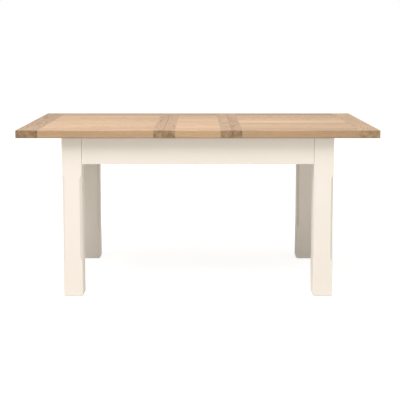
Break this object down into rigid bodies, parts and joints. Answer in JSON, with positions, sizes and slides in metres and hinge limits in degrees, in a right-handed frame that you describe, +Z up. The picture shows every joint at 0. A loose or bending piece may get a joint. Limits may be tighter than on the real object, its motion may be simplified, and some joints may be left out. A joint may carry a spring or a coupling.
{
  "type": "extending dining table",
  "caption": "Extending dining table: oak plank top in two sliding halves with a centre leaf between them, on a painted frame with square stop-chamfered legs.",
  "frame": {"origin": "on the floor, under the middle of the table", "axes": "+X along the table to the right as seen from the front, +Y from the front to the back, +Z up"},
  "size_m": [1.65, 0.85, 0.78],
  "materials": {
    "oak_boards": "pale oak, satin lacquer, grain along the table",
    "oak_clamps": "pale oak, satin lacquer, grain across the table",
    "cream_paint": "cream eggshell paint on wood",
    "beech": "bare planed beech",
    "zinc_steel": "bright zinc plate",
    "nylon": "matt moulded nylon"
  },
  "bodies": {
    "frame": {"leg_front_left": "cream_paint", "leg_front_right": "cream_paint", "leg_back_left": "cream_paint", "leg_back_right": "cream_paint", "apron_front": "cream_paint", "apron_back": "cream_paint", "apron_left": "cream_paint", "apron_right": "cream_paint", "corner_block_front_left": "beech", "corner_block_front_right": "beech", "corner_block_back_left": "beech", "corner_block_back_right": "beech", "hanger_bolts": "zinc_steel", "bolt_washers": "zinc_steel", "bolt_nuts": "zinc_steel", "block_screws": "zinc_steel", "guide_rail_front": "beech", "guide_rail_back": "beech", "guide_rail_screws": "zinc_steel", "cross_bearer_left": "beech", "cross_bearer_right": "beech", "slide_pads": "nylon", "foot_glides": "nylon"},
    "left_top": {"left_boards": "oak_boards", "left_end_clamp": "oak_clamps", "left_seam_clamp": "oak_clamps", "left_slider_front": "beech", "left_slider_back": "beech", "left_slider_screws": "zinc_steel", "left_seam_batten": "beech", "left_outer_batten": "beech", "left_batten_screws": "zinc_steel"},
    "right_top": {"right_boards": "oak_boards", "right_end_clamp": "oak_clamps", "right_seam_clamp": "oak_clamps", "right_slider_front": "beech", "right_slider_back": "beech", "right_slider_screws": "zinc_steel", "right_seam_batten": "beech", "right_outer_batten": "beech", "right_batten_screws": "zinc_steel"},
    "leaf": {"leaf_boards": "oak_boards", "leaf_left_clamp": "oak_clamps", "leaf_right_clamp": "oak_clamps", "leaf_left_batten": "beech", "leaf_right_batten": "beech", "leaf_batten_screws": "zinc_steel", "leaf_pegs": "beech"}
  },
  "joints": [
    {"name": "left_top_slide", "type": "slide", "parent": "frame", "child": "left_top", "axis": [-1, 0, 0], "range_m": [0, 0.02]},
    {"name": "right_top_slide", "type": "slide", "parent": "frame", "child": "right_top", "axis": [1, 0, 0], "range_m": [0, 0.02]},
    {"name": "leaf_lift", "type": "slide", "parent": "frame", "child": "leaf", "axis": [0, 0, 1], "range_m": [0, 0.15]}
  ]
}
